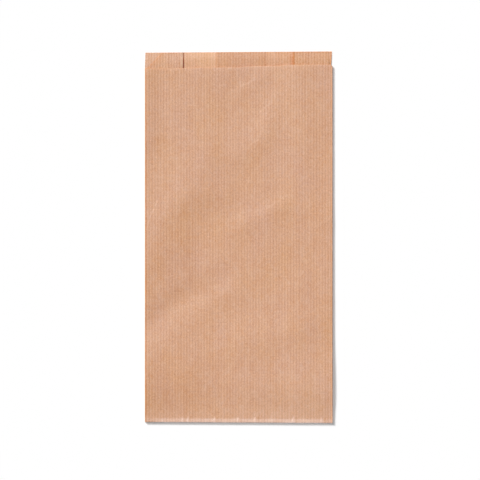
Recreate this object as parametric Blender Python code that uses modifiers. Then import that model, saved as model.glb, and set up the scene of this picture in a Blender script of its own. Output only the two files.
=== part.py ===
"""A flat kraft paper bag with side gussets, empty, lying on its back.

One web of paper is folded round into a tube, and its edges are lapped and pasted along the back
panel. The bottom end is folded under and pasted to the back. The mouth is cut in a step, so that
the back panel and the gussets stand above the front panel as a lip.

Metres. +Z is up, X runs across the bag and Y along it, towards the mouth. The bag lies on z = 0,
and the origin is the middle of its footprint.
"""

import math

import bmesh
import bpy

MM = 0.001

# The paper
PAPER = 0.10 * MM  # wall of the kraft sheet
LAYER_GAP = 0.25 * MM  # air between two layers that are folded on each other

# The outline, lying flat
WIDTH = 120 * MM  # across the front panel, from side fold to side fold
LENGTH = 237.8 * MM  # from the bottom fold to the top of the lip, overall
BACK_INSET = 0.4 * MM  # the back panel's side folds lie this far inside the front panel's
LIP_RISE = 0.8 * MM  # the lip's cut runs out of square: it is this much higher on the right
FOLD_DROP = 0.65 * MM  # the bottom fold runs out of square: it is this much lower on the right

# The side gussets
GUSSET = 25 * MM  # depth of each gusset, from the side fold to its inner fold

# The mouth's cut
STEP_LEFT = 10.15 * MM  # from the top of the lip down to the front panel's edge, at the left
STEP_RIGHT = 8.35 * MM  # and at the right
NARROW_FROM = -42 * MM  # X where the step starts to narrow from the one to the other
NARROW_TO = 32 * MM  # X where it has narrowed
CORNER_DROP = 0.95 * MM  # the front panel's right corner is cut off, down to here
CORNER_RUN = 1.4 * MM  # and this far in from the side fold
SLANT_FOOT_LEFT = 1.3 * MM  # from the left side fold to where the gusset's cut starts to climb
SLANT_RUN_LEFT = 9.8 * MM  # width of that slanting cut
SLANT_FOOT_RIGHT = 1.9 * MM  # the right gusset's cut starts to climb here
SLANT_RUN_RIGHT = 0.5 * MM  # and goes almost straight up

# The pasted lap down the back panel
LAP = 31.8 * MM  # width of the double paper
LAP_CENTRE = 1.1 * MM  # X of its middle
LAP_SETTLE = 4 * MM  # over which the paper beside the lap's outer edge comes down again

# The bottom, folded under and pasted to the back
FLAP = 15 * MM  # length of the part that is folded under
SETTLE = 58 * MM  # over which the back panel comes down from the flap
BURNISHED = 2.2 * MM  # width of the pressed band on the front, along the bottom fold
PRESS = 0.12 * MM  # how far that band is pressed down

# The front panel
LOFT = 0.25 * MM  # it lies this much above the pressed layers, away from the bottom fold
SAG = 0.35 * MM  # it lies this much lower between the gussets than over them
SAG_START = 2 * MM  # it starts to sink this far before each gusset's inner fold
SAG_RUN = 9 * MM  # and has sunk over this width
FADE = 22 * MM  # length over which it rises from the bottom fold
# Soft creases, in millimetres: points (x, y) along the middle, width above and left of it, width
# below and right of it, height
CREASES = (
    (((-62, -57), (-45, -43), (-34, -35)), 7, 12, -0.35),
    (((-50, -12), (-49, 12), (-37, 24), (-12, 28)), 9, 9, 0.30),
    (((-59, -76), (-44, -60), (-25, -52), (-9, -48)), 8, 14, 0.18),
    (((-8, -16), (3, 5), (15, 11), (28, 22)), 8, 10, 0.20),
    (((0, 52), (12, 58), (20, 70)), 7, 7, 0.15),
    (((5, -64), (25, -63), (60, -47)), 13, 15, 0.35),
    (((20, -103), (58, -112)), 16, 14, 0.30),
    (((-61, 108), (-61, 62)), 8, 8, 0.35),
    (((0, 92), (-12, 28)), 12, 16, -0.20),
    (((-62, -85), (-62, -108)), 18, 14, 0.35),
    (((34, 98), (44, 72)), 12, 16, 0.30),
)

# How finely the sheet is divided
TURN_SEGMENTS = 3  # of each half turn at a side fold
BEND_SEGMENTS = 5  # of the half turn at the bottom fold
ROW_PITCH = 6 * MM  # between rows, at most
FRONT_PITCH = 5.5 * MM  # between columns of the front panel, at most
BACK_PITCH = 18 * MM  # between columns of the back panel and the gussets, at most

LAYER_STEP = PAPER + LAYER_GAP
STACK = 4 * PAPER + 3 * LAYER_GAP  # thickness of the bag over its gussets
LEVEL = {"back": 0, "gusset_back": 1, "gusset_front": 2, "front": 3}
SIDE = {"front": WIDTH / 2 - PAPER / 2, "back": WIDTH / 2 - PAPER / 2 - BACK_INSET}
INNER_FOLD = SIDE["front"] - GUSSET
LAP_RIGHT = LAP_CENTRE + LAP / 2  # cut edge of the inner layer, which comes from the left
LAP_LEFT = LAP_CENTRE - LAP / 2  # cut edge of the outer layer, which comes from the right
LAP_RUN = PAPER / 2  # width over which the wall steps at a cut edge
BEND_RADIUS = LAYER_GAP / 2  # inside the bottom fold
FLAP_TOP = STACK - PRESS  # thickness of the flap, which is pressed all over
BODY_RISE = FLAP_TOP + 2 * BEND_RADIUS  # what the flap lifts the body by


def smooth(t):
    """0 to 1 with a soft start and end, as t goes from 0 to 1."""
    t = min(max(t, 0.0), 1.0)
    return t * t * (3 - 2 * t)


def evenly(start, end, pitch):
    """Positions from start to end, both included, no further apart than pitch."""
    count = max(1, math.ceil(abs(end - start) / pitch - 1e-6))
    return [start + (end - start) * i / count for i in range(count + 1)]


def fold_line(x):
    """Y of the bottom fold, at its inside."""
    lowest = -LENGTH / 2 + BODY_RISE - BEND_RADIUS
    return lowest + FOLD_DROP * (0.5 - x / WIDTH)


def lip_line(x):
    """Y of the top of the lip."""
    return LENGTH / 2 - LIP_RISE * (0.5 - x / WIDTH)


def front_line(x):
    """Y of the front panel's cut edge."""
    narrowed = smooth((x - NARROW_FROM) / (NARROW_TO - NARROW_FROM))
    step = STEP_LEFT + (STEP_RIGHT - STEP_LEFT) * narrowed
    corner = max(0.0, 1 - (SIDE["front"] - x) / CORNER_RUN)
    return lip_line(x) - step - CORNER_DROP * corner


def slant(x):
    """The foot and the width of the slanting cut in the gusset on this side."""
    if x < 0:
        return SLANT_FOOT_LEFT, SLANT_RUN_LEFT
    return SLANT_FOOT_RIGHT, SLANT_RUN_RIGHT


def cut_line(layer, x):
    """Y of the mouth's cut through this layer."""
    if layer == "front":
        return front_line(x)
    if layer != "gusset_front":
        return lip_line(x)
    foot, run = slant(x)
    climbed = (SIDE["front"] - abs(x) - foot) / run
    climbed = min(max(climbed, 0.0), 1.0)
    return front_line(x) + climbed * (lip_line(x) - front_line(x))


def back_height(x):
    """Middle of the back panel's wall. It is double in the lap, and rides up beside its outer edge."""
    if x > LAP_RIGHT:
        return PAPER / 2
    if x >= LAP_LEFT:
        return PAPER
    settled = smooth((LAP_LEFT - LAP_RUN - x) / (LAP_SETTLE - LAP_RUN))
    return PAPER / 2 + PAPER * (1 - settled)


def beside(points, x, y):
    """Distance from a point to a line of points, and 0 to 1 from above and left of it to below and right."""
    nearest = math.inf
    for (x0, y0), (x1, y1) in zip(points, points[1:]):
        run_x, run_y = x1 - x0, y1 - y0
        t = ((x - x0) * run_x + (y - y0) * run_y) / (run_x**2 + run_y**2)
        t = min(max(t, 0.0), 1.0)
        away_x, away_y = x - x0 - t * run_x, y - y0 - t * run_y
        distance = math.hypot(away_x, away_y)
        if distance < nearest:
            nearest = distance
            side = (away_x - away_y) / distance if distance else 0.0
    return nearest, smooth((side + 1) / 2)


def crease_lift(x, y):
    """Height of the front panel's soft creases at a point."""
    lift = 0.0
    for points, upper_width, lower_width, height in CREASES:
        distance, below = beside(points, x / MM, y / MM)
        width = upper_width + (lower_width - upper_width) * below
        lift += height * MM * math.exp(-((distance / width) ** 2))
    return lift


def front_height(x, length):
    """Middle of the front panel's wall, this far up from the bottom fold."""
    sagged = SAG * smooth((INNER_FOLD + SAG_START - abs(x)) / SAG_RUN)
    pressed = PRESS * (1 - smooth(length / BURNISHED - 0.5))
    lift = smooth(length / FADE) * (LOFT + crease_lift(x, fold_line(x) + length))
    return PAPER / 2 + LEVEL["front"] * LAYER_STEP - sagged - pressed + lift


def layer_height(layer, x, length):
    """Middle of a layer's wall, above the outer face of the back panel."""
    if layer == "back":
        return back_height(x)
    if layer == "front":
        return front_height(x, length)
    return PAPER / 2 + LEVEL[layer] * LAYER_STEP


class Flat:
    """A column of the sheet that lies within one layer."""

    def __init__(self, layer, x):
        self.layer = layer
        self.x = x
        self.double = layer == "back" and LAP_LEFT <= x <= LAP_RIGHT

    def section(self, length):
        """X and height of the column, this far up from the bottom fold."""
        return self.x, layer_height(self.layer, self.x, length)

    def cut(self):
        return cut_line(self.layer, self.x)


class Turn:
    """A column in the fold between a lower and an upper layer.

    x is how far the fold reaches, towards bulge (+1 or -1). The angle runs from 0 at the lower
    layer to pi at the upper.
    """

    double = False

    def __init__(self, lower, upper, x, bulge, angle):
        self.lower = lower
        self.upper = upper
        self.x = x
        self.bulge = bulge
        self.angle = angle

    def section(self, length):
        low = layer_height(self.lower, self.x, length)
        high = layer_height(self.upper, self.x, length)
        radius = (high - low) / 2
        x = self.x - self.bulge * radius * (1 - math.sin(self.angle))
        return x, low + radius * (1 - math.cos(self.angle))

    def cut(self):
        layer = self.lower if self.angle < math.pi / 2 else self.upper
        return cut_line(layer, self.x)


def turn(lower, upper, x, bulge):
    """The columns of one side fold, from its lower layer to its upper."""
    angles = evenly(0, math.pi, math.pi / TURN_SEGMENTS)
    return [Turn(lower, upper, x, bulge, angle) for angle in angles]


def back_columns():
    """The back panel from right to left, with a close pair of columns at each cut edge of the lap."""
    xs = evenly(SIDE["back"], LAP_RIGHT + LAP_RUN, BACK_PITCH)[1:]
    xs += evenly(LAP_RIGHT, LAP_LEFT, BACK_PITCH)
    xs += evenly(LAP_LEFT - LAP_RUN, LAP_LEFT - LAP_SETTLE, LAP_SETTLE / 3)
    xs += evenly(LAP_LEFT - LAP_SETTLE, -SIDE["back"], BACK_PITCH)[1:-1]
    return [Flat("back", x) for x in xs]


def gusset_columns(side):
    """One side gusset from the back panel to the front panel. side is -1 at the left, +1 at the right."""
    foot, run = slant(side)
    back = evenly(0, GUSSET, BACK_PITCH)[1:-1]
    front = [foot, foot + run, *evenly(foot + run, GUSSET, BACK_PITCH)[1:-1]]
    return [
        *turn("back", "gusset_back", side * SIDE["back"], side),
        *[Flat("gusset_back", side * (SIDE["front"] - depth)) for depth in back],
        *turn("gusset_back", "gusset_front", side * INNER_FOLD, -side),
        *[Flat("gusset_front", side * (SIDE["front"] - depth)) for depth in reversed(front)],
        *turn("gusset_front", "front", side * SIDE["front"], side),
    ]


def front_columns():
    """The front panel from left to right, with closer columns on its two shoulders."""
    top = INNER_FOLD + SAG_START
    foot = top - SAG_RUN
    left = evenly(-SIDE["front"], -top, FRONT_PITCH)[1:-1]
    left += evenly(-top, -foot, SAG_RUN / 3)
    middle = evenly(-foot, foot, FRONT_PITCH)[1:-1]
    right = [-x for x in reversed(left)] + [SIDE["front"] - CORNER_RUN]
    return [Flat("front", x) for x in left + middle + right]


def columns():
    """Every column of the tube, once round."""
    left = gusset_columns(-1)
    right = gusset_columns(+1)
    return [*back_columns(), *left, *front_columns(), *reversed(right)]


def flap_row(distance):
    """A row of the flap, upside down under the body, this far from the bottom fold."""

    def place(column):
        x, z = column.section(0)
        return x, fold_line(x) + distance, FLAP_TOP - z

    return place


def bend_row(angle):
    """A row of the bottom fold. The angle is 0 at the body and pi at the flap."""

    def place(column):
        x, z = column.section(0)
        radius = BEND_RADIUS + z
        y = fold_line(x) - radius * math.sin(angle)
        return x, y, BODY_RISE - BEND_RADIUS + radius * math.cos(angle)

    return place


def body_row(length):
    """A row of the bag's body, this far up from the bottom fold."""

    def place(column):
        x, z = column.section(length)
        settled = smooth((length - FLAP - BURNISHED) / SETTLE)
        return x, fold_line(x) + length, BODY_RISE * (1 - settled) + z

    return place


def mouth_row(start, share):
    """A row this share of the way from the level row at start to the mouth's cut."""

    def place(column):
        whole = column.cut() - fold_line(column.x)
        return body_row(start + share * (whole - start))(column)

    return place


def rows():
    """Every row of the tube, from the flap's end round the bottom fold and up to the mouth."""
    lowest_cut = LENGTH / 2 - LIP_RISE - max(STEP_LEFT, STEP_RIGHT)
    last_level = lowest_cut - fold_line(0) - ROW_PITCH
    angles = evenly(math.pi, 0, math.pi / BEND_SEGMENTS)
    lengths = evenly(BURNISHED / 2, BURNISHED * 3 / 2, BURNISHED)
    lengths += evenly(BURNISHED * 3 / 2, FLAP + BURNISHED, ROW_PITCH)[1:]
    lengths += evenly(FLAP + BURNISHED, last_level, ROW_PITCH)[1:]
    return [
        flap_row(FLAP),
        *[bend_row(angle) for angle in angles],
        *[body_row(length) for length in lengths],
        mouth_row(last_level, 0.5),
        mouth_row(last_level, 1.0),
    ]


def kraft():
    material = bpy.data.materials.new("ribbed_kraft")
    material.use_nodes = True
    shader = material.node_tree.nodes["Principled BSDF"]
    shader.inputs["Base Color"].default_value = (0.67, 0.39, 0.25, 1)
    shader.inputs["Roughness"].default_value = 0.6
    return material


def folded_sheet():
    """The middle surface of the paper: a flat grid moved to its folded place, its two side edges meeting."""
    around = columns()
    along = rows()
    bm = bmesh.new()
    bmesh.ops.create_grid(bm, x_segments=len(around), y_segments=len(along) - 1, size=0.5)
    lap = bm.verts.layers.deform.verify()
    for vert in bm.verts:
        column = around[round((vert.co.x + 0.5) * len(around)) % len(around)]
        place = along[round((vert.co.y + 0.5) * (len(along) - 1))]
        vert.co = place(column)
        vert[lap][0] = 1.0 if column.double else 0.0
    bmesh.ops.remove_doubles(bm, verts=bm.verts, dist=LAYER_GAP / 100)
    bmesh.ops.recalc_face_normals(bm, faces=bm.faces)
    mesh = bpy.data.meshes.new("folded_sheet")
    bm.to_mesh(mesh)
    bm.free()
    return mesh


def paper_bag(collection):
    bag = bpy.data.objects.new("paper_bag", folded_sheet())
    collection.objects.link(bag)
    bag.vertex_groups.new(name="lap")
    bag.data.materials.append(kraft())
    wall = bag.modifiers.new("wall", "SOLIDIFY")
    wall.thickness = 2 * PAPER
    wall.offset = 0
    wall.use_even_offset = True
    wall.use_quality_normals = True
    wall.vertex_group = "lap"
    wall.thickness_vertex_group = 0.5


def main():
    for obj in list(bpy.data.objects):
        bpy.data.objects.remove(obj)
    collection = bpy.data.collections.new("flat_paper_bag")
    bpy.context.scene.collection.children.link(collection)
    paper_bag(collection)


main()
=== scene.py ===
import math

import bpy
import numpy as np
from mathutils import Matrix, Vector, noise


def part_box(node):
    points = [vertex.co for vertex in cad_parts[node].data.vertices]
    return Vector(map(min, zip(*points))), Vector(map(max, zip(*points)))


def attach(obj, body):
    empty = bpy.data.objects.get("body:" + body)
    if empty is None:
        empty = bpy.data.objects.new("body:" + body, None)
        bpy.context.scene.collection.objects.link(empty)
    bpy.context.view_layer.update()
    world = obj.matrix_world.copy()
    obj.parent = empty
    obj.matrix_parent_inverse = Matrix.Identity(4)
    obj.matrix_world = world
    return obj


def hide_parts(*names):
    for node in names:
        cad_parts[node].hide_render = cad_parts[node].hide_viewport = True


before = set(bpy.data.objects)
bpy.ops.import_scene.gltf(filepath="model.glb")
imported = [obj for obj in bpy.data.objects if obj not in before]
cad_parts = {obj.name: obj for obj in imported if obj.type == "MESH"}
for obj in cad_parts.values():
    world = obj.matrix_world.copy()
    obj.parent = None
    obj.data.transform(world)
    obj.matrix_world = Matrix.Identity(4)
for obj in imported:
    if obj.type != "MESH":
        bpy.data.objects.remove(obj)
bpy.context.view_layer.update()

# The web
# One web of unbleached kraft paper, 0.1 mm thick. It was ribbed on the machine: fine flat lines
# run along it, and so up the bag. The sheet's columns lie on the ribs' edges, the folds and cuts.
MM = 0.001
PAPER = 0.10 * MM
AIR = 0.25 * MM  # between two layers that are folded on each other
LAYER_STEP = PAPER + AIR
RIB = 1.845 * MM  # from one rib to the next
RIB_RELIEF = 0.017 * MM  # from the bottom of a rib to its top
FIRST_RIB = 0.22 * MM  # where the web's cut edge lies in its first rib
NEAREST = 0.15  # of half a rib: no column stands closer than this to a fold or a cut


class Web:
    """The sheet's columns, in their order across the web."""

    def __init__(self, start):
        self.at = start
        self.columns = []

    def column(self, lower, upper, x, bulge=0, angle=0.0):
        self.columns.append((self.at, lower, upper, x, bulge, angle))

    def flat(self, layer, start, end):
        """Lays the web flat from one X to another, with a column at each edge of a rib."""
        pitch = RIB / 2
        first = math.floor(self.at / pitch + NEAREST) + 1
        last = math.ceil((self.at + abs(end - start)) / pitch - NEAREST)
        laid_from = self.at
        for k in range(first, last):
            self.at = k * pitch
            x = start + math.copysign(self.at - laid_from, end - start)
            self.column(layer, layer, x)
        self.at = laid_from + abs(end - start)

    def fold(self, first, second, x, bulge):
        """Folds the web over from one layer to the next, round a fold that bulges to this side."""
        steps = 4
        for i in range(steps + 1):
            turned = math.pi * i / steps
            angle = turned if second > first else math.pi - turned
            self.column(min(first, second), max(first, second), x, bulge, angle)
            self.at += (LAYER_STEP * math.pi / 2 / steps) if i < steps else 0


# The tube
# The web is folded round into a tube with two side gussets 25 mm deep, so four layers lie over
# each other at the sides. Its two cut edges are lapped and pasted down the back panel.
low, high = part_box("paper_bag")
SIDE = high[0] - PAPER / 2  # the side folds
INNER_FOLD = SIDE - 25 * MM  # the gussets' inner folds
LAP_LEFT = -13.8 * MM  # cut edge of the lap's outer layer
LAP_RIGHT = 17.0 * MM  # cut edge of its inner layer
SLIT_EDGE = -35.05 * MM  # of the dark gap beside the left gusset's inner fold
SLIT_BLEND = 0.1 * MM  # over which its shade ends
LAP_SETTLE = 6 * MM  # over which the inner layer comes down beside the outer layer's cut edge
BACK, GUSSET_BACK, GUSSET_FRONT, FRONT = range(4)

web = Web(FIRST_RIB)
web.column(BACK, BACK, LAP_RIGHT)
web.flat(BACK, LAP_RIGHT, SLIT_EDGE + SLIT_BLEND)
web.column(BACK, BACK, SLIT_EDGE + SLIT_BLEND)
web.column(BACK, BACK, SLIT_EDGE)
web.flat(BACK, SLIT_EDGE, -SIDE)
inner_count = len(web.columns)
web.fold(BACK, GUSSET_BACK, -SIDE, -1)
web.flat(GUSSET_BACK, -SIDE, -INNER_FOLD)
web.fold(GUSSET_BACK, GUSSET_FRONT, -INNER_FOLD, 1)
web.flat(GUSSET_FRONT, -INNER_FOLD, -SIDE)
web.fold(GUSSET_FRONT, FRONT, -SIDE, -1)
front_at = web.at  # where on the web the front panel starts
web.flat(FRONT, -SIDE, SIDE)
web.fold(FRONT, GUSSET_FRONT, SIDE, 1)
web.flat(GUSSET_FRONT, SIDE, INNER_FOLD)
web.fold(GUSSET_FRONT, GUSSET_BACK, INNER_FOLD, -1)
web.flat(GUSSET_BACK, INNER_FOLD, SIDE)
web.fold(GUSSET_BACK, BACK, SIDE, 1)
web.flat(BACK, SIDE, LAP_LEFT)
web.column(BACK, BACK, LAP_LEFT)

web_x, lower, upper, reach, bulge, angle = (np.array(c) for c in zip(*web.columns))
layer = np.where(angle > math.pi / 2, upper, lower)
inner = np.arange(len(reach)) < inner_count
outer_side = np.where(lower % 2 == 0, 1, -1)  # the web's outer face turns over at each fold
# A rib rises and falls evenly about the middle of the paper
relief = outer_side * RIB_RELIEF * (2 * np.abs(web_x / RIB % 1 - 0.5) - 0.5)


def smooth(t):
    """0 to 1 with a soft start and end, as t goes from 0 to 1."""
    t = np.clip(t, 0, 1)
    return t * t * (3 - 2 * t)


def bell(distance, width):
    """1 at no distance, and softly down to 0 over about twice this width on both sides."""
    return np.exp(-((distance / width) ** 2))


def grain(x, y, across, along, seed):
    """Soft noise from -1 to 1, in patches of this size across and along the bag."""
    x, y = np.broadcast_arrays(x, y)
    spots = zip((x / across).ravel(), (y / along).ravel())
    found = [noise.noise(Vector((a, b, seed))) for a, b in spots]
    return np.array(found).reshape(x.shape)


# The mouth
# The bag was cut off in a step: the back panel and the gussets stand about 9 mm above the front
# panel as a lip. The left gusset's front half was cut on a slant between the two levels.
LIP_RISE = 0.8 * MM  # the lip's cut is this much higher on the right
LIP = 10 * MM  # height of the lip, about
STEP = 10.15 * MM  # from the lip's cut down to the front panel's, at the left
CLIMBS = ((-42, 24, 0.35), (-2, 11, 0.75), (23, 9, 0.70))  # of that cut: X, run, height in mm
CORNER_RUN = 1.4 * MM  # the front panel's right corner is cut off over this width
CORNER_DROP = 0.95 * MM
SLANTS = {-1: (1.3 * MM, 9.8 * MM), 1: (1.9 * MM, 0.5 * MM)}  # foot and width, left and right


def lip_line(x):
    return high[1] - LIP_RISE * (0.5 - x / (2 * SIDE))


def front_line(x):
    """Y of the front panel's cut: it climbs in three places, and its right corner is off."""
    step = STEP
    for start, run, climb in CLIMBS:
        step = step - climb * MM * smooth((x - start * MM) / (run * MM))
    corner = CORNER_DROP * np.clip((x - SIDE + CORNER_RUN) / CORNER_RUN, 0, 1)
    rough = 0.10 * MM * grain(x, 0, 6 * MM, 1, 3) + 0.07 * MM * grain(x, 0, 2 * MM, 1, 4)
    return lip_line(x) - step - corner + rough


def cut_line():
    """Y of the mouth's cut at each column."""
    line = np.where(layer == FRONT, front_line(reach), lip_line(reach))
    for side, (foot, run) in SLANTS.items():
        here = (layer == GUSSET_FRONT) & (np.sign(reach) == side)
        climbed = np.clip((SIDE - np.abs(reach) - foot) / run, 0, 1)
        slant = front_line(reach) + climbed * (lip_line(reach) - front_line(reach))
        line = np.where(here, slant, line)
    ragged = 0.03 * MM * grain(web_x, 0, 1.5 * MM, 1, 5)
    return line + ragged


cut = cut_line()

# The front panel
# It lies loose over the gussets and sinks in a little between them. Packing and handling left
# soft diagonal creases in it, from the lower left to the upper right, and puffed up its edges.
LOFT = 0.22 * MM  # above the pressed layers, away from the bottom fold
# Points (x, y) along a crease, width above and left of it, width below and right, height, in mm
CREASES = (
    (((-62, -59), (-46, -46), (-36, -38)), 6, 8, -0.22),
    (((-34, -38), (-20, -34), (-8, -25)), 9, 5, -0.13),
    (((-40, -60), (-24, -51), (-8, -37)), 7, 12, 0.10),
    (((-50, -12), (-49, 12), (-37, 24), (-12, 28)), 9, 9, 0.24),
    (((3, 9), (16, 14), (29, 21)), 5, 7, 0.16),
    (((-14, -18), (-6, -2), (2, 7)), 9, 8, 0.06),
    (((31, 24), (36, 36)), 6, 10, 0.05),
    (((0, 52), (12, 58), (20, 70)), 7, 7, 0.14),
    (((15, 72), (20, 81), (24, 90)), 3, 9, 0.08),
    (((0, 92), (8, 97), (14, 102)), 4, 5, 0.12),
    (((5, -65), (25, -63), (60, -48)), 14, 12, 0.35),
    (((20, -103), (58, -112)), 16, 14, 0.24),
    (((24, -40), (60, -18)), 8, 14, 0.13),
    (((-61, 108), (-61, 62)), 8, 8, 0.40),
    (((0, 92), (-12, 28)), 12, 16, -0.23),
    (((-66, -5), (-68, -38)), 18, 14, 0.34),
    (((-62, -85), (-62, -108)), 18, 14, 0.42),
    (((66, -88), (54, -116)), 22, 20, 0.13),
    (((34, 98), (44, 72)), 12, 16, 0.18),
    (((-16, -92), (-12, -112)), 15, 14, -0.22),
    (((-28, 38), (-4, 60)), 14, 16, 0.24),
    (((62, 2), (62, -30)), 14, 10, 0.16),
    (((46, 18), (61, 8)), 8, 5, 0.15),
    (((62, 14), (64, 50)), 8, 8, 0.14),
)


def crease_lift(x, y):
    """Height of the soft creases at each point. Each has its own width on either side."""
    lift = np.zeros_like(x)
    for points, upper_width, lower_width, height in CREASES:
        nearest = np.full_like(x, 1e9)
        below = np.zeros_like(x)
        for start, end in zip(points, points[1:]):
            x0, y0, x1, y1 = (MM * value for value in (*start, *end))
            run_x, run_y = x1 - x0, y1 - y0
            t = ((x - x0) * run_x + (y - y0) * run_y) / (run_x**2 + run_y**2)
            t = np.clip(t, 0, 1)
            away_x, away_y = x - x0 - t * run_x, y - y0 - t * run_y
            away = np.hypot(away_x, away_y)
            side = (away_x - away_y) / np.maximum(away, 1e-9) / math.sqrt(2)
            below = np.where(away < nearest, side, below)
            nearest = np.minimum(away, nearest)
        share = smooth(0.5 + 0.8 * below)
        width = (upper_width + (lower_width - upper_width) * share) * MM
        lift += height * MM * bell(nearest, width)
    return lift


def sunk(x, y):
    """How far the front panel sinks in between the gussets."""
    middle = bell(y + 3 * MM, 30 * MM)
    left = 0.04 * MM + 0.30 * MM * middle
    right = 0.18 * MM - 0.13 * MM * middle
    depth = left + (right - left) * smooth((x + 25 * MM) / (50 * MM))
    return depth * smooth((INNER_FOLD + 5 * MM - np.abs(x)) / (15 * MM))


# Small cockles all over the panel: height, width and length in mm, and the noise's seed
COCKLES = ((0.015, 9, 14, 11), (0.011, 4, 6, 12), (0.006, 2, 3, 13))


def cockle(x, y):
    sizes = ((height, (wide * MM, long * MM, seed)) for height, wide, long, seed in COCKLES)
    return MM * sum(height * grain(x, y, *size) for height, size in sizes)


def front_height(x, y, length, to_cut, step):
    """Height of the middle of the front panel's wall over the back panel's outer face."""
    open_up = smooth(length / (20 * MM))
    z = PAPER / 2 + FRONT * step - sunk(x, y) * (0.15 + 0.85 * open_up)
    z = z + open_up * crease_lift(x, y) + smooth(length / (45 * MM)) * LOFT
    z = z + cockle(x, y) * smooth(length / (8 * MM))
    mouth_lift = 0.04 * MM * smooth(1 - to_cut / (14 * MM))
    edge_bend = 0.08 * MM * np.exp(-to_cut / (1.1 * MM))
    right_dip = 0.10 * MM * smooth((x - 28 * MM) / (32 * MM))
    z = z + mouth_lift - edge_bend - right_dip
    # It rests softly on the gussets, or on the back panel between them
    over_gusset = smooth((np.abs(x) - INNER_FOLD + 4 * MM) / (3.5 * MM))
    floor = PAPER * 1.8 + (2 * step - PAPER * 0.3) * over_gusset
    above = z - floor
    give = 0.06 * MM
    return floor + (above + np.sqrt(above**2 + give**2)) / 2


# The four layers
# Back panel, gussets and front panel lie loosely on each other. They are pressed together at the
# bottom fold, and lie close at the lip, where the cutting left them a little curled up.
PRESSED = 0.38  # share of the air that is left between the layers at the bottom fold
LIP_PRESSED = 0.36  # share of the layers' distance that is left at the lip's edge
LAP_PASTE = 0.02 * MM  # between the lap's two layers
BEND = 0.06 * MM  # inside the bottom fold
FLATNESS = 0.35  # of the pressed fold's roundness
FOLD_DROP = 0.65 * MM  # the bottom fold is this much lower on the right
fold_stack = 4 * PAPER + 3 * PRESSED * AIR  # the four layers, pressed


def fold_line(x):
    """Y at which the web leaves the bottom fold, on the bag's upper side."""
    edge = low[1] + FOLD_DROP * (0.5 - x / (2 * SIDE))
    return edge + FLATNESS * (BEND + fold_stack)


def layer_heights(y, length, to_lip, to_cut):
    """Height of the middle of each layer's wall, at every column."""
    step = PAPER + AIR * (PRESSED + (1 - PRESSED) * smooth(length / (26 * MM)))
    lip_step = step * (LIP_PRESSED + (1 - LIP_PRESSED) * smooth(to_lip / LIP))
    back = PAPER / 2 + 0.12 * MM * bell(to_lip - 4 * MM, 3.4 * MM)
    settled = smooth((LAP_LEFT - reach) / LAP_SETTLE)
    heights = [
        back + np.where(inner, (PAPER + LAP_PASTE) * (1 - settled), 0),
        back + GUSSET_BACK * lip_step,
        back + GUSSET_FRONT * lip_step,
        front_height(reach, y, length, to_cut, step),
    ]
    return np.array([np.broadcast_to(height, reach.shape) for height in heights])


def folded_x(to_lip):
    """X of every column. The bag wasn't folded quite true."""
    # The back panel is a little narrower than the front
    t = np.clip(to_lip / LIP, 0, 1)
    inset = np.where(reach > 0, 0.40 * MM + 0.50 * MM * t, 0.35 * MM - 0.30 * MM * t)
    inset = inset * smooth((np.abs(reach) - SIDE + 8 * MM) / (8 * MM)) * (upper <= GUSSET_BACK)
    # The left gusset's inner fold is a little less deep
    in_left_gusset = (lower >= GUSSET_BACK) & (upper <= GUSSET_FRONT) & (reach < 0)
    less_deep = 0.55 * MM * smooth((reach + 45 * MM) / (10 * MM)) * in_left_gusset
    return reach - np.sign(reach) * inset - less_deep


def section(length, to_cut):
    """X and height of every column, this far up from the bottom fold and down from the mouth's cut."""
    y = fold_line(reach) + length
    to_lip = lip_line(reach) - y
    heights = layer_heights(y, length, to_lip, to_cut)
    pick = np.arange(len(reach))
    z_low = heights[lower, pick]
    radius = (heights[upper, pick] - z_low) / 2
    x = folded_x(to_lip)
    x = x - bulge * radius * (1 - np.sin(angle)) + bulge * relief * np.sin(angle)
    return x, z_low + radius * (1 - np.cos(angle)) - relief * np.cos(angle)


# The bottom
# It was folded under and pasted to the back panel. The fold was pressed hard between rollers:
# its edge is burnished to a pale band, with small crinkles across it.
FLAP = 15 * MM
SETTLE = 58 * MM  # over which the body comes down from the flap to the table
REST = 0.03 * MM  # the sheet stays this clear of z = 0, because its ribs stand out
MOUTH_ZONE = 16.5 * MM  # below the mouth's cut, where the rows turn to follow it
FLAP_ROWS, BEND_ROWS, BODY_ROWS = 6, 8, 77
BODY_RISE = fold_stack + 2 * BEND


class Rows:
    """The sheet's rows, from the flap's end round the bottom fold and up to the mouth."""

    def __init__(self):
        self.points = []
        self.lengths = []

    def add(self, x, y, z, length):
        level = np.broadcast_to(length, reach.shape)
        self.points.append(np.stack([x, y, z + REST], axis=1))
        self.lengths.append(level)


rows = Rows()
whole = cut - fold_line(reach)  # length of every column, from the bottom fold to the mouth
fold_x, fold_z = section(0 * reach, whole)
for distance in np.linspace(FLAP, 1.5 * MM, FLAP_ROWS):
    rows.add(fold_x, fold_line(fold_x) + distance, fold_stack - fold_z, -distance)
radius = BEND + fold_z
for bend_angle in np.linspace(math.pi, 0, BEND_ROWS):
    y = fold_line(fold_x) - FLATNESS * radius * math.sin(bend_angle)
    rows.add(fold_x, y, BODY_RISE - BEND + radius * math.cos(bend_angle), 0.0)
last_level = whole.min() - MOUTH_ZONE
near_fold = np.array([0.4, 0.9, 1.4, 1.9, 2.4, 3.0, 4.0, 5.4, 7.0]) * MM
near_cut = np.array([13.5, 10.5, 8.0, 6.0, 4.4, 3.2, 2.3, 1.6, 1.0, 0.5, 0.2, 0.0]) * MM
levels = [*near_fold, *np.linspace(near_fold[-1], last_level, BODY_ROWS)[1:]]
body = [level + 0 * reach for level in levels]
body += [last_level + (whole - last_level) * (1 - d / MOUTH_ZONE) for d in near_cut]
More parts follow.
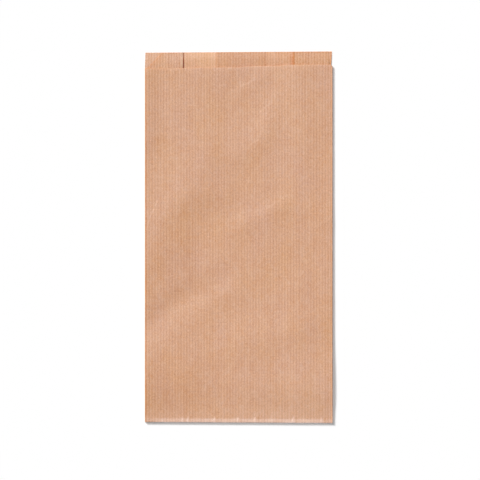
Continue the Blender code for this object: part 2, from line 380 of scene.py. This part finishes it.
for length in body:
    x, z = section(length, whole - length)
    raised = BODY_RISE * (1 - smooth((length - FLAP - 2 * MM) / SETTLE))
    rows.add(x, fold_line(x) + length, z + raised, length)

grid = np.array(rows.points)
web_y = np.array(rows.lengths)
row_count, column_count = web_y.shape

# The sheet
# The web is one open sheet, cut on all four sides. Its fibres lie mostly along the ribs. It is
# pale where it was pressed, and orange at the lip's cut edges. Light and shade are painted on it
# too: painted shade in the lip's folds and gaps, painted light where the table shines through and
# on folds that face away from the lamp, and painted sheen on the front panel's patches and creases.
MAP = 0.4  # metres of paper to one unit of the web's UV map


def sheet_mesh():
    mesh = bpy.data.meshes.new("folded_sheet")
    index = np.arange(row_count * column_count).reshape(row_count, column_count)
    corners = [index[:-1, :-1], index[:-1, 1:], index[1:, 1:], index[1:, :-1]]
    faces = np.stack(corners, axis=-1).reshape(-1, 4)
    mesh.from_pydata(grid.reshape(-1, 3).tolist(), [], faces.tolist())
    uv = np.stack([np.broadcast_to(web_x, web_y.shape), web_y + FLAP], axis=-1) / MAP
    web_map = mesh.uv_layers.new(name="web")
    web_map.uv.foreach_set("vector", uv.reshape(-1, 2)[faces.ravel()].ravel().astype(np.float32))
    ends = np.zeros(len(mesh.edges) * 2, dtype=np.int32)
    mesh.edges.foreach_get("vertices", ends)
    first, second = ends.reshape(-1, 2).T
    mesh.shade_smooth()
    # The ribs have flat sides, so every edge that runs along a column is sharp
    along = first % column_count == second % column_count
    sharp = mesh.attributes.new("sharp_edge", "BOOLEAN", "EDGE")
    sharp.data.foreach_set("value", along)
    return mesh


def paint(mesh, name, values):
    """Stores one value for each point of the sheet."""
    stored = mesh.attributes.new(name, "FLOAT", "POINT")
    spread = np.broadcast_to(values, web_y.shape)
    stored.data.foreach_set("value", spread.ravel().astype(np.float32))


bag = bpy.data.objects.new("ribbed_kraft_bag", sheet_mesh())
bpy.context.scene.collection.objects.link(bag)
wall = bag.modifiers.new("wall", "SOLIDIFY")
wall.thickness = PAPER
wall.offset = 0
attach(bag, "root")
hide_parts("paper_bag")

grid_x, grid_y = grid[..., 0], grid[..., 1]
to_lip = lip_line(grid_x) - grid_y
to_cut = whole - web_y
in_lip = smooth((13 * MM - to_lip) / MM) * (layer < FRONT)
depth = smooth(to_lip / (7 * MM))  # 0 at the lip's edge, 1 further down

# Painted light: the white table shines through the back panel where it is a single layer, most at
# the left and near the lip's edge
off_lap = (reach < LAP_LEFT) | (reach > LAP_RIGHT)
single = (layer == BACK) & (np.abs(reach) < INNER_FOLD) & off_lap
table_shine = single * np.where(reach > 0, 0.45, 1.0) * in_lip
table_shine = table_shine * (1 + 0.45 * smooth(1 - to_lip / (5 * MM)))

# Painted shade makes the lip's inner folds orange, more so deeper in the mouth, and its right end
# too. Beside the lap's two cut edges it is painted shade and the paste's stain.
fold_shade_and_paste = (1.0 + 0.6 * depth) * bell(reach - INNER_FOLD + 0.15 * MM, 1.0 * MM)
fold_shade_and_paste = fold_shade_and_paste + 0.25 * bell(reach - INNER_FOLD + 1.3 * MM, 1.2 * MM)
fold_shade_and_paste = fold_shade_and_paste + 0.6 * np.clip((reach - 58.9 * MM) / (0.4 * MM), 0, 1)
for edge in (LAP_LEFT - 0.2 * MM, LAP_RIGHT):
    fold_shade_and_paste = fold_shade_and_paste + 0.7 * bell(reach - edge, 0.6 * MM)

# Painted shade darkens the gap at the left gusset's inner fold, more so deeper in the mouth, and
# painted light makes the fold beside it a little paler
in_slit = (layer == BACK) & inner & (reach < SLIT_EDGE + SLIT_BLEND / 2)
beside_slit = ((lower >= GUSSET_BACK) & (upper < FRONT) & (reach < 0)) * in_lip
slit_shade = (0.45 + 0.55 * depth) * in_slit * in_lip
slit_shade = slit_shade - 0.12 * smooth((reach + 36.6 * MM) / (0.8 * MM)) * beside_slit

# Painted shade darkens the lip towards the front panel. The lip is also darker on the right gusset,
# and warmer from the lap on
right_gusset = ((layer == GUSSET_BACK) | (layer == GUSSET_FRONT)) & (reach > 0)
lip_tint = smooth((reach - LAP_LEFT) / MM + 0.5) * in_lip
deep = (smooth((to_lip - 2 * MM) / (8 * MM)) + 3.0 * right_gusset) * in_lip

# The bottom band is burnished pale, less so near both corners. A painted highlight makes the fold
# itself palest, where it faces away from the lamp
burnish_and_highlight = smooth((2.6 * MM - web_y) / (0.6 * MM)) * smooth((web_y + 0.5 * MM) / (0.3 * MM))
burnish_and_highlight = burnish_and_highlight * (0.35 + 0.65 * smooth((grid_x + 58 * MM) / (12 * MM)))
burnish_and_highlight = burnish_and_highlight * (1 - 0.55 * smooth((grid_x - 50 * MM) / (5 * MM)))
burnish_and_highlight = burnish_and_highlight * (0.9 + 0.5 * grain(grid_x, grid_y, 2.5 * MM, 3 * MM, 32) + 1.6 * (web_y == 0))
# Crinkles across the band, with painted light on one side and painted shade on the other: X and
# length in mm
CRINKLES = ((-36, 3.4), (-32.6, 3.8), (-15.5, 3.4), (-0.5, 3.4), (10.5, 3.8), (35, 4.2), (53, 3.4))
for x, length in CRINKLES:
    crinkle = bell(grid_x - x * MM, 0.8 * MM)
    across_band = smooth((length * MM - web_y) / MM) * (web_y >= 0)
    burnish_and_highlight += (0.7 * crinkle - 0.5 * np.roll(crinkle, 2, axis=1)) * across_band

# The lip's cut edges are orange, and those of the front panel and the slanting cut pale. So is
# the corner of the lip beside the slanting cut.
SLANT_END = -49 * MM  # X where the slanting cut meets the lip's cut
slanting = (layer == GUSSET_FRONT) & (reach < SLANT_END)
beside_slant = ((layer == GUSSET_BACK) & (reach < SLANT_END)) * in_lip
edge_noise = 0.6 + 0.4 * grain(grid_x, grid_y, 1.5 * MM, 1.5 * MM, 31)
rim = np.exp(-to_cut / (0.5 * MM)) * edge_noise
pale_rim = (layer == FRONT) | slanting

# The front panel's left fold is orange. Its right fold, and the lip's right end, face away from the
# lamp and get painted light
left_fold = np.clip((-59.0 * MM - grid_x) / (0.4 * MM), 0, 1) * (layer == FRONT)
right_fold_light = np.clip((grid_x - 59.4 * MM) / (0.4 * MM), 0, 1) * (upper == FRONT)
right_fold_light = right_fold_light + 1.2 * (reach > SIDE - 0.1 * MM) * (upper < FRONT) * in_lip

# Paler and darker patches of painted sheen on the front panel. The band along the bottom is
# painted light where the panel's rise shades it: x, y, width and length in mm, and how much paler
SHEEN_PATCHES = (
    (-45, -100, 25, 30, -2.5),
    (30, -105, 35, 20, 2.0),
    (25, 78, 30, 45, 2.0),
    (-45, -15, 22, 24, -1.5),
    (-42, 62, 24, 38, 1.5),
    (56, 60, 10, 60, -1.0),
    (0, -117, 200, 14, 4.0),
    (35, -117, 30, 14, 2.0),
    (50, -98, 18, 24, 1.2),
)
painted_sheen = np.zeros_like(grid_x)
for x, y, width, length, paler in SHEEN_PATCHES:
    apart = ((grid_x / MM - x) / width) ** 2 + ((grid_y / MM - y) / length) ** 2
    painted_sheen += paler * np.exp(-apart)

PAINTS = {
    "left_fold": left_fold,
    "right_fold_light": right_fold_light,
    "slit_shade": slit_shade,
    # painted shade: more orange along the slanting cut, where the gusset's free corner curls up
    "slant": np.exp(-to_cut / (3 * MM)) * slanting,
    "corner": beside_slant,
    "lip_tint": lip_tint,
    "table_shine": table_shine,
    # painted shade in the lip's folds, and the paste's stain beside the lap's cut edges
    "crease": fold_shade_and_paste * in_lip,
    "deep": deep,
    "burnish_and_highlight": burnish_and_highlight,
    "painted_sheen": painted_sheen * (layer == FRONT),
    "rim": rim * ~pale_rim,
    "front_rim": rim * pale_rim * np.where(slanting, 0.5, 1.0),
}
for name, values in PAINTS.items():
    paint(bag.data, name, values)


class Signal:
    """A socket of a material's or the world's nodes, with Python's arithmetic on it."""

    def __init__(self, tree, socket):
        self.tree = tree
        self.socket = socket

    def node(self, kind, settings=(), inputs=(), output=0):
        """Adds a node of this type, with its settings first and then its sockets' values or links."""
        added = self.tree.nodes.new("ShaderNode" + kind)
        for name, value in dict(settings).items():
            setattr(added, name, value)
        for key, value in dict(inputs).items():
            if isinstance(value, Signal):
                self.tree.links.new(value.socket, added.inputs[key])
            else:
                added.inputs[key].default_value = value
        return Signal(self.tree, added.outputs[output])

    def math(self, operation, *values):
        return self.node("Math", {"operation": operation}, enumerate(values))

    def vector(self, operation, *values):
        return self.node("VectorMath", {"operation": operation}, enumerate(values))

    def __add__(self, other):
        return self.math("ADD", self, other)

    def __sub__(self, other):
        return self.math("SUBTRACT", self, other)

    def __rsub__(self, other):
        return self.math("SUBTRACT", other, self)

    def __mul__(self, other):
        return self.math("MULTIPLY", self, other)

    def __truediv__(self, other):
        return self.math("DIVIDE", self, other)

    __radd__ = __add__
    __rmul__ = __mul__

    def tint(self, colour):
        """This value times a colour."""
        return self.node("VectorMath", {"operation": "SCALE"}, {0: colour, "Scale": self})


kraft = bpy.data.materials.new("ribbed_kraft")
kraft.use_nodes = True
bag.data.materials.append(kraft)
shader = kraft.node_tree.nodes["Principled BSDF"]
start = Signal(kraft.node_tree, None)  # it has no socket of its own, and only adds nodes
web_map = start.node("UVMap", {"uv_map": "web"})
across = start.node("SeparateXYZ", (), {0: web_map}, 0) * MAP
along = start.node("SeparateXYZ", (), {0: web_map}, 1) * MAP


def speckle(width, length, seed, detail=1.0):
    """Noise from about -1 to 1, in specks of this size across and along the web."""
    spot = start.node("CombineXYZ", (), {0: across / width, 1: along / length, 2: seed})
    sizes = {"Vector": spot, "Scale": 1.0, "Detail": detail, "Roughness": 0.55}
    return (start.node("TexNoise", (), sizes) - 0.5) * 2.5


def mark(name):
    """A value painted on the sheet."""
    return start.node("Attribute", {"attribute_name": name}, (), "Fac")


# Fine creases in the front panel and its bottom band, drawn as painted light and shade: two ends
# (x, y) and width in mm, how pale
FINE_CREASES = (
    ((-59, 2), (-56, 14), 0.4, 1.0),
    ((-56.3, 12), (-51, 24), 0.4, 1.1),
    ((-0.4, 95), (10.8, 100), 0.8, 0.6),
    ((11.6, 77.5), (22, 86.5), 0.7, 0.8),
    ((6.7, 58.4), (14, 62.3), 0.6, 0.7),
    ((15.5, 16), (33, 27), 0.9, 0.6),
    ((-16.5, 1.5), (-8.4, 6.3), 1.2, 0.4),
    ((24.6, 35.4), (28.4, 37.3), 0.6, 0.6),
    ((-12.6, 95), (-10.6, 96.6), 1.0, 0.6),
    ((-6.8, 94.3), (-5.5, 100.7), 0.5, -0.7),
    ((-42, 40), (-37.5, 45), 0.8, 0.5),
    ((-21, -36), (-10, -30.5), 1.2, 0.4),
    ((39.6, -25.7), (41.9, -21.6), 0.5, 0.8),
    ((-46.8, -27.3), (-40.4, -24.8), 0.5, 0.6),
    ((1.2, 32.6), (3.2, 31.2), 0.5, -0.7),
    ((45.4, 51), (46.6, 49.6), 0.5, -0.9),
    ((-36.8, -118.6), (-34.8, -115), 0.5, 1.3),
    ((-33.4, -118.6), (-31.4, -115.4), 0.5, 1.1),
    ((-17, -118.6), (-14.4, -115.6), 0.5, 1.3),
    ((-1.2, -118.6), (0.2, -115.6), 0.4, 1.2),
    ((9.4, -118.6), (11.4, -115), 0.5, 1.3),
    ((34, -118.4), (35.8, -114.8), 0.5, 1.3),
    ((52.4, -118.4), (53.4, -115.4), 0.5, 1.1),
)


def crease_shading(first, last, width, paler):
    """Painted light on a straight crease's upper left flank and painted shade on its lower right, 0
    away from it.
    """
    run_x, run_y = (last[0] - first[0]) * MM, (last[1] - first[1]) * MM
    run = math.hypot(run_x, run_y)
    from_x = across - (front_at + SIDE + first[0] * MM)
    from_y = along - (first[1] * MM - low[1] + FLAP)
    beside = (from_x * run_y - from_y * run_x) / (run * width * MM)
    share = (from_x * run_x + from_y * run_y) / run**2
    faded = start.math("MINIMUM", share * (1 - share) * 6, 1.0)
    faded = start.math("MAXIMUM", faded, 0.0)
    flanks = (0.6 - beside) * start.math("EXPONENT", beside * beside * -1)
    return flanks * faded * (1.3 * paler)


painted_crease_shading = sum(crease_shading(*ends_and_size) for ends_and_size in FINE_CREASES)
rib = start.math("COSINE", (across / RIB - 0.75) * (2 * math.pi))
rib = rib * (1 + speckle(2.2 * MM, 30 * MM, 1.0) * 0.5) + speckle(1.9 * MM, 60 * MM, 2.0) * 0.8
fibres = speckle(0.8 * MM, 1.4 * MM, 3.0, 2.0)
flecks = speckle(0.4 * MM, 0.9 * MM, 4.0, 2.0)
clouds = speckle(1.7 * MM, 2.4 * MM, 5.0)
patches = speckle(4 * MM, 6 * MM, 6.0)
formation = speckle(9 * MM, 14 * MM, 7.0)
tinge = speckle(1.5 * MM, 2.2 * MM, 8.0)
hue = speckle(4 * MM, 9 * MM, 9.0, 2.0)
warmth = speckle(15 * MM, 32 * MM, 10.0)
# Shares of red, green and blue that each effect adds
EFFECTS = (
    (rib, (0.058, 0.101, 0.155)),
    (fibres, (0.145, 0.218, 0.330)),
    (flecks, (0.240, 0.350, 0.520)),
    (clouds, (0.028, 0.080, 0.170)),
    (patches, (0.042, 0.104, 0.190)),
    (formation, (0.018, 0.046, 0.085)),
    (tinge, (-0.040, 0.000, 0.110)),
    (hue, (-0.012, 0.002, 0.050)),
    (warmth, (-0.014, 0.007, 0.130)),
    (painted_crease_shading * (0.7 + clouds * 0.6), (0.12, 0.25, 0.42)),
    # painted sheen and shade on the front panel
    (mark("painted_sheen"), (0.008, 0.018, 0.034)),
    # painted light from the table, through the single layer
    (mark("table_shine"), (0.15, 0.19, 0.20)),
    # painted shade in the lip's folds and beside the lap's edges
    (mark("crease"), (-0.06, -0.22, -0.38)),
    # painted shade in the lip, towards the front panel
    (mark("deep"), (-0.02, -0.03, -0.05)),
    (mark("burnish_and_highlight"), (0.22, 0.46, 0.90)),
    (mark("rim"), (0.02, -0.12, -0.30)),
    (mark("front_rim"), (0.22, 0.30, 0.36)),
    (mark("slit_shade"), (-0.15, -0.85, -1.20)),
    # painted shade along the slanting cut
    (mark("slant"), (0.00, -0.13, -0.30)),
    (mark("corner"), (0.06, 0.11, 0.20)),
    (mark("lip_tint"), (0.03, -0.01, -0.08)),
    (mark("left_fold"), (-0.06, -0.22, -0.45)),
    (mark("right_fold_light"), (0.65, 0.60, 0.50)),
)
PLAIN_PAPER = (0.574, 0.295, 0.162)
shares = (1, 1, 1)
for amount, colour in EFFECTS:
    shares = start.vector("ADD", shares, amount.tint(colour))
paper_colour = start.vector("MULTIPLY", PLAIN_PAPER, shares)
kraft.node_tree.links.new(paper_colour.socket, shader.inputs["Base Color"])
roughness = fibres * 0.03 + mark("burnish_and_highlight") * -0.05 + mark("slit_shade") * 0.5 + 0.37
kraft.node_tree.links.new(roughness.socket, shader.inputs["Roughness"])
bump = start.node("Bump", (), {"Strength": 1.0, "Distance": 0.002 * MM, "Height": fibres + flecks})
kraft.node_tree.links.new(bump.socket, shader.inputs["Normal"])
shader.inputs["Specular IOR Level"].default_value = 0.7

# The table
# A plain white table top, on which the bag lies. It is not part of the object. It looks whiter
# than the light it gives back, so that it doesn't brighten the bag.
TABLE_TOP = -0.02 * MM  # just clear of the bag
TABLE_GLOW = 0.075  # what it lacks in the lamps' light to look white


def seen_directly(nodes):
    """1 where it is seen, in a mirror or through glass too, and 0 where it only gives light."""
    seen = nodes.node("LightPath", (), (), "Is Camera Ray")
    for ray in ("Is Glossy Ray", "Is Transmission Ray"):
        seen = seen.math("MAXIMUM", seen, nodes.node("LightPath", (), (), ray))
    return seen


bpy.ops.mesh.primitive_plane_add(size=6, location=(0, 0, TABLE_TOP))
table = bpy.context.object
table.name = "white_table"
white = bpy.data.materials.new("white_table")
white.use_nodes = True
table_shader = white.node_tree.nodes["Principled BSDF"]
table_shader.inputs["Base Color"].default_value = (0.94, 0.94, 0.94, 1)
table_shader.inputs["Roughness"].default_value = 1.0
table_shader.inputs["Specular IOR Level"].default_value = 0.0
table_shader.inputs["Emission Color"].default_value = (1, 1, 1, 1)
glow = seen_directly(Signal(white.node_tree, None)) * TABLE_GLOW
white.node_tree.links.new(glow.socket, table_shader.inputs["Emission Strength"])
table.data.materials.append(white)

# The light
# A soft lamp stands low at the upper left and a weaker one almost overhead. The white room around
# gives the rest. The paper mirrors the room and the high lamp, but not the low one.
LAMP_SPREAD = 0.28  # how wide each lamp looks from the bag, in radians
ROOM_LIGHT = 0.13


def soft_lamp(name, energy, towards):
    """A far lamp in this direction from the bag."""
    lamp = bpy.data.lights.new(name, "SUN")
    lamp.energy = energy
    lamp.angle = LAMP_SPREAD
    lamp_object = bpy.data.objects.new(name, lamp)
    lamp_object.rotation_euler = Vector(towards).to_track_quat("Z", "Y").to_euler()
    bpy.context.scene.collection.objects.link(lamp_object)
    return lamp_object


low_lamp = soft_lamp("lamp", 3.9, (-1, 1, 0.82))
low_lamp.visible_glossy = False
soft_lamp("high_lamp", 0.75, (-0.18, 0.18, 1))

world = bpy.data.worlds.new("room")
bpy.context.scene.world = world
world.use_nodes = True
background = world.node_tree.nodes["Background"]
background.inputs["Color"].default_value = (1, 1, 1, 1)
strength = ROOM_LIGHT + seen_directly(Signal(world.node_tree, None)) * (1 - ROOM_LIGHT)
world.node_tree.links.new(strength.socket, background.inputs["Strength"])
bpy.context.scene.view_settings.view_transform = "Standard"

# The camera
# It looks straight down with a long lens, from 4.3 m up. Its frame is 307 mm wide on the table,
# and the bag lies a little off the frame's middle.
FRAME_WIDTH = 307.06 * MM
AIM_X, AIM_Y = 0.86 * MM, -1.71 * MM  # on the table, in the middle of the frame
lens = bpy.data.cameras.new("camera")
lens.lens = 500
lens.sensor_width = 36
camera = bpy.data.objects.new("camera", lens)
camera.location = (AIM_X, AIM_Y, FRAME_WIDTH * lens.lens / lens.sensor_width)
bpy.context.scene.collection.objects.link(camera)
bpy.context.scene.camera = camera
